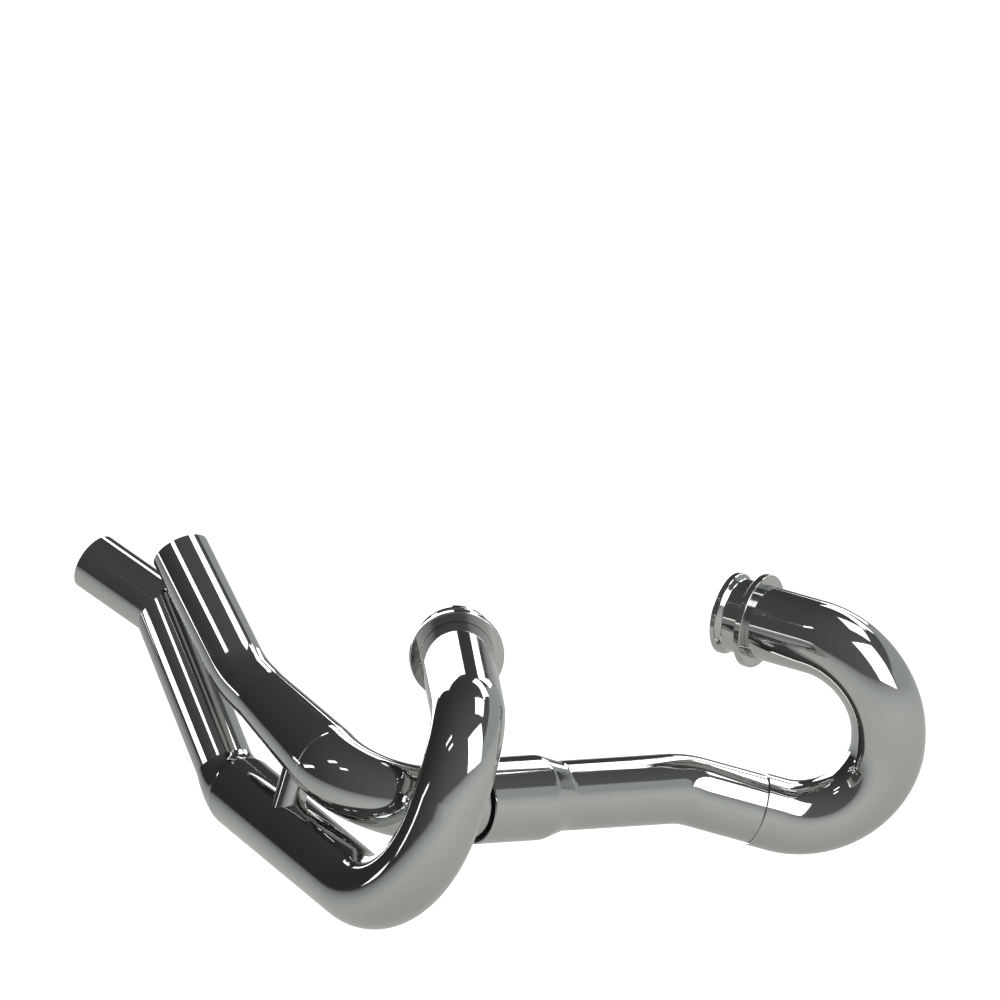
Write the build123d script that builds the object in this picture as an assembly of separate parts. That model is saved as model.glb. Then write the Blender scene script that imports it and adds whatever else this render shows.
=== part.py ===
from build123d import *
import os
from math import cos, radians, sin, tan

# Exhaust header of a motorcycle twin with two splayed ports.
# The left pipe crosses to the right-hand side, where both pipes rise one above the other.
# Frame: origin at the centre of the right port end, +X forward, +Y to the rider's left, +Z up.
# Lengths are in millimetres and angles in degrees.

# Tube stock
HEADER_OD = 48.6
OUTLET_OD = 38.1
CROSSOVER_OD = 20.8
WALL = 1.2
SLIP_CLEARANCE = 0.2
WELD_GAP = 0.1
SEAM_BEVEL = 0.4

# Port ends: a lip flared on the tube, and a disc that slides on behind it
PORT_SPACING = 214.0
PORT_SPLAY = 29.5
PORT_DIP = 10.0
LIP_RISE = 2.6
LIP_LENGTH = 4.0
LIP_FALL = 3.0
LIP_BLEND = 2.0
FLANGE_RIM = 6.5
FLANGE_THICKNESS = 5.0
FLANGE_SETBACK = 22.0
FLANGE_ROUND = 0.8

# Right pipe: corners of its centre line, bend radii and runs
RIGHT_PORT_RUN = 170.0
RIGHT_FRONT_BEND = 50.0
RIGHT_LOW_FORWARD = 115.5
RIGHT_LOW_SIDE = 115.0
RIGHT_LOW_DROP = 159.0
RIGHT_LOW_BEND = 76.0
RIGHT_REAR_CLIMB = 12.4
RISER_BACK = 133.0
RISER_BEND = 42.0
RISER_CLIMB = 51.6
RISER_RUN = 132.0
RIGHT_OUTLET_SPLAY = 18.0
RIGHT_OUTLET_CLIMB = 24.0
RIGHT_OUTLET_RUN = 62.0

# Upright plane, outboard of the right port, that holds both pipes at the rear
SIDE_PLANE = 85.0

# Left header: from its port round the wide bend
LEFT_PORT_RUN = 118.0
LEFT_FRONT_BEND = 55.5
LEFT_DROP_YAW = 146.0
LEFT_DROP_PITCH = 73.0
LEFT_DROP_RUN = 137.0
LEFT_LOW_BEND = 54.5

# Cross pipe: its plain end slips into the left header, short of the bend, and its other end is a socket
CROSS_INSET = 52.5
CROSS_BEND = 47.0
CROSS_LEAD = 42.0
SLIP_STOP = 2.0
CROSS_SKEW = 2.0
CROSS_FALL = 2.8
CROSS_FORWARD = 31.5
SOCKET_LENGTH = 51.0
SOCKET_LEAD = 25.0
SHOULDER_LENGTH = 17.0
SHOULDER_BLEND = 12.0
INSERT_DEPTH = 40.0
GASKET_WALL = 2.0
GASKET_LENGTH = 28.0
GASKET_RECESS = 3.0

# Left pipe behind the socket: it stands above the right one
STACK_RISE = 45.0
LEFT_REAR_BEND = 54.0
LEFT_REAR_CLIMB = 23.0
REAR_LEAD = 2.0
REDUCER_COLLAR = 6.0
REDUCER_BLEND = 60.0
OUTLET_PITCH = 54.5
OUTLET_LEAD = 9.0
LEFT_OUTLET_BEND = 63.0
LEFT_OUTLET_CLIMB = 44.4
LEFT_OUTLET_RUN = 101.0

# Balance tube: how far behind the left seam it lands, and how far outboard of the two centre lines
CROSSOVER_BACK = 16.0
CROSSOVER_OUTBOARD = 8.0

HEADER_RADIUS = HEADER_OD / 2
OUTLET_RADIUS = OUTLET_OD / 2
CROSSOVER_RADIUS = CROSSOVER_OD / 2
CROSS_RADIUS = HEADER_RADIUS - WALL - SLIP_CLEARANCE
SLIP_RADIUS = HEADER_RADIUS + SLIP_CLEARANCE
FLANGE_OD = 2 * (SLIP_RADIUS + FLANGE_RIM)
GASKET_RADIUS = SLIP_RADIUS + GASKET_WALL
SOCKET_OD = 2 * (GASKET_RADIUS + SLIP_CLEARANCE + WALL)
SOCKET_RADIUS = SOCKET_OD / 2


def heading(yaw, climb):
    """Unit vector: yaw is turned from forward towards the left, climb is above level."""
    level = cos(radians(climb))
    return Vector(level * cos(radians(yaw)), level * sin(radians(yaw)), sin(radians(climb)))


def toward(start, end, distance):
    """Point on the line from start to end, at a distance from start."""
    return start + (end - start).normalized() * distance


def setback(before, corner, after, radius):
    """Distance from a corner of a centre line to where its bend starts."""
    turn = (corner - before).get_angle(after - corner)
    return radius * tan(radians(turn / 2))


def rod(start, end, radius):
    """Solid round bar between two points."""
    axis = end - start
    return extrude(Plane(origin=start, z_dir=axis) * Circle(radius), amount=axis.length)


def pipe(start, end, outer_radius, inner_radius):
    """Straight tube between two points."""
    return rod(start, end, outer_radius) - rod(start, end, inner_radius)


def bent_pipe(corners, bends, outer_radius):
    """Tube along a centre line of straight runs and tangent bends."""
    path = FilletPolyline(*corners, radius=bends)
    mouth = Plane(origin=corners[0], z_dir=corners[1] - corners[0])
    body = sweep(mouth * Circle(outer_radius), path)
    bore = sweep(mouth * Circle(outer_radius - WALL), path)
    return body - bore


def turned(stations, blends, start, end):
    """Solid of revolution about the line from start to end, from (radius, distance) stations."""
    profile = FilletPolyline(*[(radius, 0, along) for radius, along in stations], radius=blends)
    foot = (0, 0, stations[0][1])
    top = (0, 0, stations[-1][1])
    closing = Polyline(profile @ 1, top, foot, profile @ 0)
    solid = revolve(make_face([profile, closing]), axis=Axis.Z)
    return Plane(origin=start, z_dir=end - start).location * solid


def turned_shell(stations, blends, start, end):
    """The same form as an open tube of even wall."""
    inside = [(radius - WALL, along) for radius, along in stations]
    return turned(stations, blends, start, end) - turned(inside, blends, start, end)


def bevel_rim(part, centre):
    """Break the outer edge of the round end at a point, so that the seam there shows."""
    circles = part.edges().filter_by(GeomType.CIRCLE)
    rims = circles.sort_by(lambda edge: (edge.arc_center - centre).length)[:2]
    return chamfer(max(rims, key=lambda edge: edge.radius), SEAM_BEVEL)


def port_lip(port, out):
    """Flared lip at a port end, bored like the tube that carries it."""
    foot = LIP_LENGTH + 2 * LIP_FALL
    stations = [
        (HEADER_RADIUS + LIP_RISE, 0),
        (HEADER_RADIUS + LIP_RISE, LIP_LENGTH),
        (HEADER_RADIUS, LIP_LENGTH + LIP_FALL),
        (HEADER_RADIUS, foot),
    ]
    flare = turned(stations, [LIP_BLEND, LIP_BLEND], port, port + out)
    return flare - rod(port, port + out * foot, HEADER_RADIUS - WALL)


def port_flange(port, out):
    """Disc that slides on the port end."""
    front = port + out * (FLANGE_SETBACK - FLANGE_THICKNESS / 2)
    back = front + out * FLANGE_THICKNESS
    disc = rod(front, back, FLANGE_OD / 2)
    disc = fillet(disc.edges().filter_by(GeomType.CIRCLE), FLANGE_ROUND)
    return disc - rod(front, back, SLIP_RADIUS)


# Centre line of the right pipe
right_out = heading(-PORT_SPLAY, -PORT_DIP)
right_port = Vector(0, 0, 0)
right_front = right_port + right_out * RIGHT_PORT_RUN
right_low = Vector(RIGHT_LOW_FORWARD, -RIGHT_LOW_SIDE, -RIGHT_LOW_DROP)
rear_level = Vector(-RISER_BACK, -SIDE_PLANE, -RIGHT_LOW_DROP) - right_low
rear_rise = rear_level.length * tan(radians(RIGHT_REAR_CLIMB))
riser_foot = right_low + rear_level + Vector(0, 0, rear_rise)
rear_axis = (riser_foot - right_low).normalized()
riser_axis = heading(180, RISER_CLIMB)
riser_top = riser_foot + riser_axis * RISER_RUN
right_outlet_axis = heading(180 + RIGHT_OUTLET_SPLAY, RIGHT_OUTLET_CLIMB)
right_end = riser_top + right_outlet_axis * RIGHT_OUTLET_RUN

# Centre line of the left pipe, from the socket to its outlet, placed by the right pipe
below_corner = right_low + rear_axis * ((CROSS_FORWARD - right_low.X) / rear_axis.X)
cross_corner = Vector(CROSS_FORWARD, -SIDE_PLANE, below_corner.Z + STACK_RISE)
left_rear_axis = heading(180, LEFT_REAR_CLIMB)
off_riser = heading(0, 90 - RISER_CLIMB)
height_off_riser = (cross_corner - riser_foot).dot(off_riser)
left_rear_run = (OUTLET_PITCH - height_off_riser) / left_rear_axis.dot(off_riser)
left_top = cross_corner + left_rear_axis * left_rear_run
left_end = left_top + heading(180, LEFT_OUTLET_CLIMB) * LEFT_OUTLET_RUN

# Centre line of the left pipe, from its port to the cross pipe
left_out = heading(PORT_SPLAY, -PORT_DIP)
left_port = right_port + Vector(0, PORT_SPACING, 0)
left_front = left_port + left_out * LEFT_PORT_RUN
left_low = left_front + heading(LEFT_DROP_YAW, -LEFT_DROP_PITCH) * LEFT_DROP_RUN
cross_axis = heading(90 + CROSS_SKEW, -CROSS_FALL)
cross_width = left_port.Y - CROSS_INSET - cross_corner.Y
cross_bend = cross_corner + cross_axis * (cross_width / cross_axis.Y)

# Ends of the pieces along the two centre lines
elbow_setback = setback(right_low, riser_foot, riser_top, RISER_BEND)
elbow_start = toward(riser_foot, right_low, elbow_setback)
elbow_end = toward(riser_foot, riser_top, elbow_setback)
cross_setback = setback(left_low, cross_bend, cross_corner, CROSS_BEND)
left_seam = toward(cross_bend, left_low, cross_setback + CROSS_LEAD)
low_setback = setback(left_front, left_low, cross_bend, LEFT_LOW_BEND)
slip_end = toward(left_low, cross_bend, low_setback + SLIP_STOP)
rear_setback = setback(cross_bend, cross_corner, left_top, LEFT_REAR_BEND)
socket_mouth = toward(cross_corner, cross_bend, rear_setback + SOCKET_LEAD)
shoulder_end = toward(socket_mouth, cross_bend, SOCKET_LENGTH + SHOULDER_LENGTH)
insert_end = toward(socket_mouth, cross_bend, INSERT_DEPTH)
rear_seam = toward(cross_corner, left_top, rear_setback + REAR_LEAD)
outlet_setback = setback(cross_corner, left_top, left_end, LEFT_OUTLET_BEND)
reducer_end = toward(left_top, cross_corner, outlet_setback + OUTLET_LEAD)
reducer_length = (reducer_end - rear_seam).length

# Balance tube: from the left reducer square down to the right pipe
above_foot = toward(rear_seam, reducer_end, CROSSOVER_BACK)
below_top = right_low + rear_axis * (above_foot - right_low).dot(rear_axis)
outboard = (above_foot - below_top).cross(rear_axis).normalized() * CROSSOVER_OUTBOARD
crossover_top = above_foot + outboard
crossover_foot = below_top + outboard
crossover_bore = rod(crossover_foot, crossover_top, CROSSOVER_RADIUS - WALL)


def reducer_stations(allowance):
    """Outer form of the left reducer, grown by an allowance."""
    return [
        (HEADER_RADIUS + allowance, 0),
        (HEADER_RADIUS + allowance, REDUCER_COLLAR),
        (OUTLET_RADIUS + allowance, reducer_length - REDUCER_COLLAR),
        (OUTLET_RADIUS + allowance, reducer_length),
    ]


def right_header_tube():
    tube = bent_pipe(
        [right_port, right_front, right_low, elbow_start],
        [RIGHT_FRONT_BEND, RIGHT_LOW_BEND],
        HEADER_RADIUS,
    )
    return bevel_rim(tube + port_lip(right_port, right_out), right_port) - crossover_bore


def right_reducing_elbow():
    """Bend that narrows evenly from the header to the riser."""
    path = TangentArc(elbow_start, elbow_end, tangent=rear_axis)
    wide = Plane(origin=elbow_start, z_dir=rear_axis)
    narrow = Plane(origin=elbow_end, z_dir=riser_axis)
    body = sweep([wide * Circle(HEADER_RADIUS), narrow * Circle(OUTLET_RADIUS)], path, multisection=True)
    bore = sweep(
        [wide * Circle(HEADER_RADIUS - WALL), narrow * Circle(OUTLET_RADIUS - WALL)],
        path,
        multisection=True,
    )
    return body - bore


def mitred_pair():
    """Riser and right outlet, cut to one mitre plane where they meet."""
    mitre = Plane(origin=riser_top, z_dir=riser_axis + right_outlet_axis)
    spare = OUTLET_OD
    riser = pipe(elbow_end, riser_top + riser_axis * spare, OUTLET_RADIUS, OUTLET_RADIUS - WALL)
    outlet = pipe(riser_top - right_outlet_axis * spare, right_end, OUTLET_RADIUS, OUTLET_RADIUS - WALL)
    return split(riser, bisect_by=mitre, keep=Keep.BOTTOM), split(outlet, bisect_by=mitre, keep=Keep.TOP)


def left_header_tube():
    tube = bent_pipe(
        [left_port, left_front, left_low, left_seam],
        [LEFT_FRONT_BEND, LEFT_LOW_BEND],
        HEADER_RADIUS,
    )
    flared = bevel_rim(tube + port_lip(left_port, left_out), left_port)
    return bevel_rim(flared, left_seam)


def cross_pipe():
    """One tube: plain end, small bend, straight run, and an end expanded into a socket."""
    tube = bent_pipe([slip_end, cross_bend, shoulder_end], [CROSS_BEND], CROSS_RADIUS)
    stations = [
        (SOCKET_RADIUS, 0),
        (SOCKET_RADIUS, SOCKET_LENGTH),
        (CROSS_RADIUS, SOCKET_LENGTH + SHOULDER_LENGTH),
        (CROSS_RADIUS, SOCKET_LENGTH + 2 * SHOULDER_LENGTH),
    ]
    socket = turned_shell(stations, [SHOULDER_BLEND, SHOULDER_BLEND], socket_mouth, cross_bend)
    return bevel_rim(tube + socket, socket_mouth)


def socket_gasket():
    near = toward(socket_mouth, cross_bend, GASKET_RECESS)
    far = toward(near, cross_bend, GASKET_LENGTH)
    return pipe(near, far, GASKET_RADIUS, SLIP_RADIUS)


def left_rear_bend():
    tube = bent_pipe([insert_end, cross_corner, rear_seam], [LEFT_REAR_BEND], HEADER_RADIUS)
    return bevel_rim(tube, rear_seam)


def left_reducer():
    blends = [REDUCER_BLEND, REDUCER_BLEND]
    shell = turned_shell(reducer_stations(0), blends, rear_seam, reducer_end)
    return bevel_rim(shell, rear_seam) - crossover_bore


def left_outlet_tube():
    return bent_pipe([reducer_end, left_top, left_end], [LEFT_OUTLET_BEND], OUTLET_RADIUS)


def crossover_tube():
    """Balance tube, saddled to the two pipes that it joins."""
    tube = pipe(crossover_foot, crossover_top, CROSSOVER_RADIUS, CROSSOVER_RADIUS - WALL)
    lower = rod(right_low, riser_foot, HEADER_RADIUS + WELD_GAP)
    blends = [REDUCER_BLEND, REDUCER_BLEND]
    upper = turned(reducer_stations(WELD_GAP), blends, rear_seam, reducer_end)
    return tube - lower - upper


right_riser_tube, right_outlet_tube = mitred_pair()
nodes = {
    "right_header_tube": right_header_tube(),
    "right_port_flange": port_flange(right_port, right_out),
    "right_reducing_elbow": right_reducing_elbow(),
    "right_riser_tube": right_riser_tube,
    "right_outlet_tube": right_outlet_tube,
    "left_header_tube": left_header_tube(),
    "left_port_flange": port_flange(left_port, left_out),
    "cross_pipe": cross_pipe(),
    "socket_gasket": socket_gasket(),
    "left_rear_bend": left_rear_bend(),
    "left_reducer": left_reducer(),
    "left_outlet_tube": left_outlet_tube(),
    "crossover_tube": crossover_tube(),
}

os.makedirs("parts", exist_ok=True)
for name, solid in nodes.items():
    export_step(solid, f"parts/{name}.step")
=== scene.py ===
import math

import bpy
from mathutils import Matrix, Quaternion, Vector

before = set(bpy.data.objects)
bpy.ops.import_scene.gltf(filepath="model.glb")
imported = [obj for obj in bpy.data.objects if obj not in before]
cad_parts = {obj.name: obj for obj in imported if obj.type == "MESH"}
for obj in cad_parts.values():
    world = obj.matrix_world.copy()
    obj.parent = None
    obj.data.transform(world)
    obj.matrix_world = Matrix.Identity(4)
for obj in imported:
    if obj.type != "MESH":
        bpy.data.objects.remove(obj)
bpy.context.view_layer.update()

# Right header tube: stainless tube with its port end flared to a lip, mandrel-bent into a J and buffed
# to a mirror after bending. Buffing leaves a faint orange peel and hairlines, and its bore stays raw.
STEEL = (0.57, 0.58, 0.568, 1)
STEEL_DULL = (0.528, 0.536, 0.524, 1)
RAW_STEEL = (0.27, 0.265, 0.255, 1)
MIRROR_ROUGHNESS = 0.035
WORN_ROUGHNESS = 0.11
RAW_ROUGHNESS = 0.42
HAZE_CELLS = 26.0
HAZE_DETAIL = 3.0
HAZE_RANGE = (0.42, 0.72)
HAIRLINE_CELLS = ((900.0, 60.0, 60.0), (60.0, 60.0, 900.0))
HAIRLINE_RANGE = (0.64, 0.78)
RIPPLE_CELLS = 38.0
RIPPLE_STRENGTH = 0.06
RIPPLE_HEIGHT = 0.0004
HEADER_POLISH = (0.5, 0.5)
HEADER_BORE = 0.0231
BORE_SKIN = 0.0003
RIGHT_PORT = (0, 0, 0)
RIGHT_OUT = (0.857133, -0.484943, -0.173648)
RIGHT_PORT_DEPTH = 0.11


def group_with(name, inputs, outputs):
    """An empty shader group with named sockets, and the two nodes that hold them."""
    tree = bpy.data.node_groups.new(name, "ShaderNodeTree")
    for label, kind, value in inputs:
        socket = tree.interface.new_socket(label, in_out="INPUT", socket_type=kind)
        socket.default_value = value
    for label, kind in outputs:
        tree.interface.new_socket(label, in_out="OUTPUT", socket_type=kind)
    return tree, tree.nodes.new("NodeGroupInput"), tree.nodes.new("NodeGroupOutput")


def node_in(tree, kind, sockets=None, **settings):
    """A node with its settings, and its sockets set to a value or linked from another socket."""
    node = tree.nodes.new(kind)
    for key, value in settings.items():
        setattr(node, key, value)
    for key, value in (sockets or {}).items():
        if isinstance(value, bpy.types.NodeSocket):
            tree.links.new(value, node.inputs[key])
        else:
            node.inputs[key].default_value = value
    return node


def place_in(tree):
    """The place on the object, in metres."""
    return node_in(tree, "ShaderNodeTexCoord").outputs["Object"]


def math_in(tree, operation, *values, clamp=False):
    """The result of a Math node on sockets or numbers."""
    return node_in(
        tree, "ShaderNodeMath", dict(enumerate(values)), operation=operation, use_clamp=clamp
    ).outputs[0]


def vector_in(tree, operation, *values):
    """The vector that a Vector Math node makes of sockets or vectors."""
    return node_in(
        tree, "ShaderNodeVectorMath", dict(enumerate(values)), operation=operation
    ).outputs["Vector"]


def measure_in(tree, operation, *values):
    """The number that a Vector Math node makes of sockets or vectors."""
    return node_in(
        tree, "ShaderNodeVectorMath", dict(enumerate(values)), operation=operation
    ).outputs["Value"]


def noise_in(tree, where, scale, detail=1.0):
    """Grey noise at so many cells to the metre."""
    return node_in(
        tree, "ShaderNodeTexNoise", {"Vector": where, "Scale": scale, "Detail": detail}
    ).outputs["Fac"]


def spread(tree, value, low, high, to_low=0.0, to_high=1.0):
    """Stretch a value from one range to another, held at the ends."""
    return node_in(
        tree,
        "ShaderNodeMapRange",
        {"Value": value, "From Min": low, "From Max": high, "To Min": to_low, "To Max": to_high},
    ).outputs["Result"]


def mixed(tree, share, first, second):
    """The first colour at a share of 0, and the second at a share of 1."""
    return node_in(
        tree, "ShaderNodeMix", {0: share, 6: first, 7: second}, data_type="RGBA"
    ).outputs[2]


def build_buffing():
    """Marks of the buffing wheel: soft haze, hairlines two ways, and a long shallow ripple."""
    tree, given, out = group_with(
        "buffing",
        [("Haze", "NodeSocketFloat", 0.5), ("Hairlines", "NodeSocketFloat", 0.5)],
        [("Color", "NodeSocketColor"), ("Roughness", "NodeSocketFloat"), ("Height", "NodeSocketFloat")],
    )
    where = place_in(tree)
    haze = spread(tree, noise_in(tree, where, HAZE_CELLS, HAZE_DETAIL), *HAZE_RANGE)
    upright, level = (
        spread(tree, noise_in(tree, vector_in(tree, "MULTIPLY", where, cells), 1.0), *HAIRLINE_RANGE)
        for cells in HAIRLINE_CELLS
    )
    lines = math_in(tree, "MAXIMUM", upright, level)
    haze_share = math_in(tree, "MULTIPLY", haze, given.outputs["Haze"])
    line_share = math_in(tree, "MULTIPLY", lines, given.outputs["Hairlines"])
    worn = math_in(tree, "ADD", haze_share, line_share, clamp=True)
    rough = spread(tree, worn, 0.0, 1.0, MIRROR_ROUGHNESS, WORN_ROUGHNESS)
    tree.links.new(mixed(tree, worn, STEEL, STEEL_DULL), out.inputs["Color"])
    tree.links.new(rough, out.inputs["Roughness"])
    tree.links.new(noise_in(tree, where, RIPPLE_CELLS), out.inputs["Height"])
    return tree


def build_bore():
    """Mask of a straight bore: inside a radius of the axis, from the mouth to a depth."""
    tree, given, out = group_with(
        "raw_bore",
        [
            ("Mouth", "NodeSocketVector", (0, 0, 0)),
            ("Axis", "NodeSocketVector", (0, 0, 1)),
            ("Radius", "NodeSocketFloat", 0.02),
            ("Depth", "NodeSocketFloat", 0.1),
        ],
        [("Mask", "NodeSocketFloat")],
    )
    axis = given.outputs["Axis"]
    offset = vector_in(tree, "SUBTRACT", place_in(tree), given.outputs["Mouth"])
    along = measure_in(tree, "DOT_PRODUCT", offset, axis)
    drop = node_in(tree, "ShaderNodeVectorMath", {0: axis, "Scale": along}, operation="SCALE")
    across = vector_in(tree, "SUBTRACT", offset, drop.outputs["Vector"])
    inside = math_in(tree, "LESS_THAN", measure_in(tree, "LENGTH", across), given.outputs["Radius"])
    within = math_in(tree, "LESS_THAN", along, given.outputs["Depth"])
    tree.links.new(math_in(tree, "MULTIPLY", inside, within), out.inputs["Mask"])
    return tree


buffing = build_buffing()
raw_bore = build_bore()


def steel(name, polish, bore=None):
    """Mirror-buffed stainless steel, with a raw bore where a mouth, axis, radius and depth are given."""
    material = bpy.data.materials.new(name)
    material.use_nodes = True
    tree = material.node_tree
    shader = tree.nodes["Principled BSDF"]
    shader.inputs["Metallic"].default_value = 1.0
    marks = node_in(tree, "ShaderNodeGroup", node_tree=buffing)
    for socket, value in zip(("Haze", "Hairlines"), polish):
        marks.inputs[socket].default_value = value
    color, rough = marks.outputs["Color"], marks.outputs["Roughness"]
    if bore:
        raw = node_in(tree, "ShaderNodeGroup", node_tree=raw_bore)
        for socket, value in zip(("Mouth", "Axis", "Radius", "Depth"), bore):
            raw.inputs[socket].default_value = value
        mask = raw.outputs["Mask"]
        color = mixed(tree, mask, color, RAW_STEEL)
        rough = math_in(tree, "MAXIMUM", rough, math_in(tree, "MULTIPLY", mask, RAW_ROUGHNESS))
    bump = node_in(
        tree,
        "ShaderNodeBump",
        {"Strength": RIPPLE_STRENGTH, "Distance": RIPPLE_HEIGHT, "Height": marks.outputs["Height"]},
    )
    tree.links.new(color, shader.inputs["Base Color"])
    tree.links.new(rough, shader.inputs["Roughness"])
    tree.links.new(bump.outputs["Normal"], shader.inputs["Normal"])
    return material


def dress(node, material):
    """Give a CAD node its finish."""
    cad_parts[node].data.materials.clear()
    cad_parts[node].data.materials.append(material)


right_port_bore = (RIGHT_PORT, RIGHT_OUT, HEADER_BORE + BORE_SKIN, RIGHT_PORT_DEPTH)
dress("right_header_tube", steel("right_header_steel", HEADER_POLISH, right_port_bore))

# Port flanges: two loose discs turned from stainless plate. They slide on the tubes behind the flared
# lips, and the studs of the head pull them home.
FLANGE_POLISH = (0.9, 0.9)
for side in ("right", "left"):
    dress(f"{side}_port_flange", steel(f"{side}_flange_steel", FLANGE_POLISH))

# Right reducing elbow, riser and outlet: a bend pressed down from header to outlet size, a straight leg,
# and a short end cut to a mitre, all of stainless, welded and dressed flush before buffing.
OUTLET_POLISH = (0.45, 0.5)
OUTLET_BORE = 0.01785
RIGHT_END = (-0.268859, -0.102503, 0.024698)
RIGHT_INWARD = (0.868846, 0.282305, -0.406737)
RIGHT_END_DEPTH = 0.09
for node in ("right_reducing_elbow", "right_riser_tube"):
    dress(node, steel(f"{node}_steel", OUTLET_POLISH))
right_end_bore = (RIGHT_END, RIGHT_INWARD, OUTLET_BORE + BORE_SKIN, RIGHT_END_DEPTH)
dress("right_outlet_tube", steel("right_outlet_steel", OUTLET_POLISH, right_end_bore))

# Left header tube: the same stainless tube as the right one, bent into a wide U. Its plain lower end
# slips over the cross pipe.
LEFT_PORT = (0, 0.214, 0)
LEFT_OUT = (0.857133, 0.484943, -0.173648)
LEFT_PORT_DEPTH = 0.06
left_port_bore = (LEFT_PORT, LEFT_OUT, HEADER_BORE + BORE_SKIN, LEFT_PORT_DEPTH)
dress("left_header_tube", steel("left_header_steel", HEADER_POLISH, left_port_bore))

# Cross pipe: slightly smaller stainless tube with one small bend, expanded at its far end into the socket
# of a slip joint. Its plain end is pushed into the left header.
CROSS_POLISH = (0.5, 0.55)
dress("cross_pipe", steel("cross_pipe_steel", CROSS_POLISH))

# Left rear bend, reducer and outlet: a stainless bend pushed into the socket, a spun cone, and a bent
# outlet tube, butt-welded in a row and dressed flush before buffing.
LEFT_END = (-0.194003, -0.085, 0.040357)
LEFT_INWARD = (0.714473, 0, -0.699663)
LEFT_END_DEPTH = 0.085
for node in ("left_rear_bend", "left_reducer"):
    dress(node, steel(f"{node}_steel", OUTLET_POLISH))
left_end_bore = (LEFT_END, LEFT_INWARD, OUTLET_BORE + BORE_SKIN, LEFT_END_DEPTH)
dress("left_outlet_tube", steel("left_outlet_steel", OUTLET_POLISH, left_end_bore))

# Balance tube: short thin stainless tube, its ends cut to a saddle and welded between the two stacked
# pipes. It is buffed by hand in a tight place, so its polish is a little duller than theirs.
BALANCE_POLISH = (0.6, 0.6)
dress("crossover_tube", steel("crossover_steel", BALANCE_POLISH))

# Socket gasket: graphite pressed round a wire mesh into a dark matt sleeve. It sits inside the socket and
# seals the slip joint.
GRAPHITE_DARK = (0.02, 0.02, 0.021, 1)
GRAPHITE_LIGHT = (0.11, 0.11, 0.11, 1)
GRAPHITE_ROUGHNESS = 0.75
WIRE_CELLS = 900.0
WIRE_DETAIL = 2.0
gasket = bpy.data.materials.new("gasket_graphite")
gasket.use_nodes = True
tree = gasket.node_tree
graphite = tree.nodes["Principled BSDF"]
wire = noise_in(tree, place_in(tree), WIRE_CELLS, WIRE_DETAIL)
shade = node_in(tree, "ShaderNodeValToRGB", {"Fac": wire})
shade.color_ramp.elements[0].color = GRAPHITE_DARK
shade.color_ramp.elements[1].color = GRAPHITE_LIGHT
tree.links.new(shade.outputs["Color"], graphite.inputs["Base Color"])
graphite.inputs["Roughness"].default_value = GRAPHITE_ROUGHNESS
dress("socket_gasket", gasket)

# Set: a white floor well below the part, which hangs in the air as in the photograph. Polished metal shows
# what stands round it, so a glowing sphere stands there, out of the camera's sight, painted with studio
# light
# and shade: a painted reflection of a lit grey floor low down, painted shade high up, a painted brighter
# side towards the front, and a patch of painted light on the left that stands for a lit grey board.
CENTRE = Vector((-0.05, 0.08, -0.07))
WHITE = (1, 1, 1, 1)
FLOOR_SIZE = 200
FLOOR_DROP = 6.0
PAPER_GREY = (0.3, 0.3, 0.3, 1)
TENT_RADIUS = 5.0
HORIZON_UP = (-0.065, -0.24, 1.0)
# The sphere's glow by height is painted light and shade: a painted reflection of a lit grey floor at the
# foot, painted shade at the top.
PAINTED_GLOW_FOOT = -1.2
PAINTED_GLOW_TOP = 0.8
PAINTED_FLOOR_REFLECTION = (0.485, 0.48, 0.45, 1)
PAINTED_TOP_SHADE = (0.094, 0.095, 0.092, 1)
PAINTED_GLOW_STOPS = (
    (-0.38, (0.6, 0.605, 0.575, 1)),
    (-0.13, (0.51, 0.53, 0.52, 1)),
    (0.06, (0.33, 0.34, 0.335, 1)),
    (0.15, (0.095, 0.096, 0.093, 1)),
)
# Painted light: the sphere's glow is brighter towards the front and darker away from it.
BRIGHT_SIDE = (0.985, 0.174, 0.0)
FRONT_GAIN = 0.06
# The grey board is a patch of painted light on the left of the glowing sphere, standing for a lit board.
PAINTED_BOARD_SIDE = (0.2, 0.98, 0.0)
PAINTED_BOARD_DOWN = (0.0, 0.8, -1.0)
PAINTED_BOARD_EDGE = (0.62, 0.7)
PAINTED_BOARD_RIM = (-0.02, 0.05)
PAINTED_BOARD_LIGHT = (0.42, 0.45, 0.44)

scene = bpy.context.scene
scene.view_settings.view_transform = "Standard"
world = bpy.data.worlds.new("white_surround")
scene.world = world
world.use_nodes = True
world.node_tree.nodes["Background"].inputs["Color"].default_value = WHITE
world.node_tree.nodes["Background"].inputs["Strength"].default_value = 1.0
world.cycles.sampling_method = "NONE"

bpy.ops.mesh.primitive_plane_add(size=FLOOR_SIZE, location=(0, 0, CENTRE.z - FLOOR_DROP))
floor = bpy.context.object
floor.name = "studio_floor"
paper = bpy.data.materials.new("white_paper")
paper.use_nodes = True
tree = paper.node_tree
sheet = tree.nodes["Principled BSDF"]
sheet.inputs["Base Color"].default_value = PAPER_GREY
sheet.inputs["Roughness"].default_value = 1.0
sheet.inputs["Emission Color"].default_value = WHITE
path = node_in(tree, "ShaderNodeLightPath")
seen = math_in(tree, "MAXIMUM", path.outputs["Is Camera Ray"], path.outputs["Is Glossy Ray"])
seen = math_in(tree, "MAXIMUM", seen, path.outputs["Is Transmission Ray"])
tree.links.new(seen, sheet.inputs["Emission Strength"])
paper.cycles.emission_sampling = "NONE"
floor.data.materials.append(paper)

# A glowing sphere that is no lamp, painted with studio light and shade for the metal to reflect.
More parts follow.
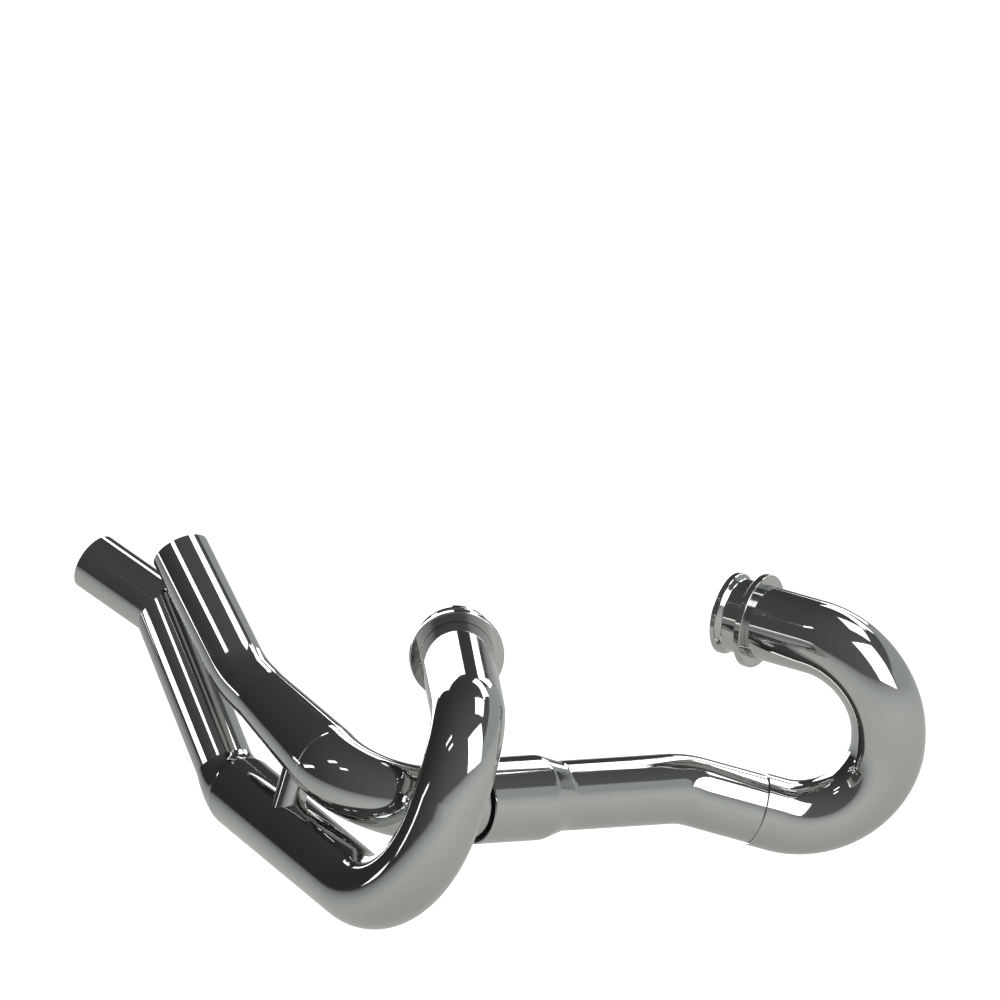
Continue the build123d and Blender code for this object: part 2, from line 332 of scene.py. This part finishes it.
bpy.ops.mesh.primitive_uv_sphere_add(segments=64, ring_count=32, radius=TENT_RADIUS, location=CENTRE)
tent = bpy.context.object
tent.name = "painted_light_surround"
surround_glow = bpy.data.materials.new("painted_light_surround_glow")
surround_glow.use_nodes = True
tree = surround_glow.node_tree
tree.nodes.remove(tree.nodes["Principled BSDF"])
outward = vector_in(tree, "NORMALIZE", place_in(tree))
above = measure_in(tree, "DOT_PRODUCT", outward, HORIZON_UP)
# Painted light and shade by height: a painted lit-floor reflection low down, painted shade high up.
shade = node_in(tree, "ShaderNodeValToRGB", {"Fac": spread(tree, above, PAINTED_GLOW_FOOT, PAINTED_GLOW_TOP)})
shade.color_ramp.elements[0].color = PAINTED_FLOOR_REFLECTION
shade.color_ramp.elements[1].color = PAINTED_TOP_SHADE
for height, grey in PAINTED_GLOW_STOPS:
    stop = shade.color_ramp.elements.new((height - PAINTED_GLOW_FOOT) / (PAINTED_GLOW_TOP - PAINTED_GLOW_FOOT))
    stop.color = grey
# Painted light: brighter glow towards the front, darker towards the back.
ahead = measure_in(tree, "DOT_PRODUCT", outward, BRIGHT_SIDE)
lit = vector_in(tree, "ADD", shade.outputs["Color"], math_in(tree, "MULTIPLY", ahead, FRONT_GAIN))
# Painted light: a grey patch of glow on the left of the sphere, where a lit board would be reflected.
beside = spread(tree, measure_in(tree, "DOT_PRODUCT", outward, PAINTED_BOARD_SIDE), *PAINTED_BOARD_EDGE)
under = spread(tree, measure_in(tree, "DOT_PRODUCT", outward, PAINTED_BOARD_DOWN), *PAINTED_BOARD_RIM)
painted_board_light = vector_in(tree, "MULTIPLY", PAINTED_BOARD_LIGHT, math_in(tree, "MULTIPLY", beside, under))
lit = vector_in(tree, "MAXIMUM", lit, painted_board_light)
glow = node_in(tree, "ShaderNodeEmission", {"Color": lit, "Strength": 1.0})
tree.links.new(glow.outputs[0], tree.nodes["Material Output"].inputs["Surface"])
surround_glow.cycles.emission_sampling = "NONE"
tent.data.materials.append(surround_glow)
tent.visible_camera = False

# Soft boxes: flat lamps behind white cloth, out of the camera's sight. Each has a name, a distance, its
# azimuth from forward towards the left, its height above level, and its width, height and roll in degrees.
NEAR = 2.2
FAR = 4.5
BOX_RADIANCE = 3.0
SOFT_BOXES = (
    ("front_box", NEAR, 12, 31, 36, 40, 0),
    ("left_box", FAR, 116.3, 44.5, 27.5, 12, 0),
    ("mid_left_box", FAR, 100, 50, 13, 3.6, 0),
    ("low_left_box", NEAR, 125.7, 27, 16, 14, 32),
    ("rear_box", NEAR, 168, 17.5, 30, 41, 0),
    ("top_left_box", NEAR, 64, 62, 22, 20, 9),
    ("top_right_box", NEAR, -89, 45.6, 11.6, 3, 57),
    ("upper_right_box", NEAR, -73.4, 42.6, 8.5, 3, 42),
    ("low_right_box", NEAR, -119, 6, 19.8, 3, 36),
    ("low_rear_box", NEAR, -136, -1, 6, 3, 0),
)


def direction(azimuth, climb):
    """The unit vector at an azimuth from forward towards the left and a climb above level, in degrees."""
    around, up = math.radians(azimuth), math.radians(climb)
    return Vector((math.cos(up) * math.cos(around), math.cos(up) * math.sin(around), math.sin(up)))


for name, distance, azimuth, climb, wide, tall, roll in SOFT_BOXES:
    toward = direction(azimuth, climb)
    lamp = bpy.data.lights.new(name, "AREA")
    lamp.shape = "RECTANGLE"
    lamp.size = 2 * distance * math.tan(math.radians(wide / 2))
    lamp.size_y = 2 * distance * math.tan(math.radians(tall / 2))
    lamp.energy = BOX_RADIANCE * math.pi * lamp.size * lamp.size_y
    box = bpy.data.objects.new(name, lamp)
    box.location = CENTRE + toward * distance
    turn = Quaternion((0, 0, 1), math.radians(roll))
    box.rotation_euler = (toward.to_track_quat("Z", "Y") @ turn).to_euler()
    box.visible_camera = False
    scene.collection.objects.link(box)

# Camera: stands to the right of the front and a little above. The photograph shows no perspective, so it
# is orthographic.
VIEW_AZIMUTH = -33.5
VIEW_CLIMB = 10.0
VIEW_WIDTH = 0.65
VIEW_DISTANCE = 1.5
LOOK_AT = Vector((0.0028, 0.0337, 0.0921))
back = direction(VIEW_AZIMUTH, VIEW_CLIMB)
eye = bpy.data.cameras.new("view")
eye.type = "ORTHO"
eye.ortho_scale = VIEW_WIDTH
camera = bpy.data.objects.new("view", eye)
camera.location = LOOK_AT + back * VIEW_DISTANCE
camera.rotation_euler = back.to_track_quat("Z", "Y").to_euler()
scene.collection.objects.link(camera)
scene.camera = camera
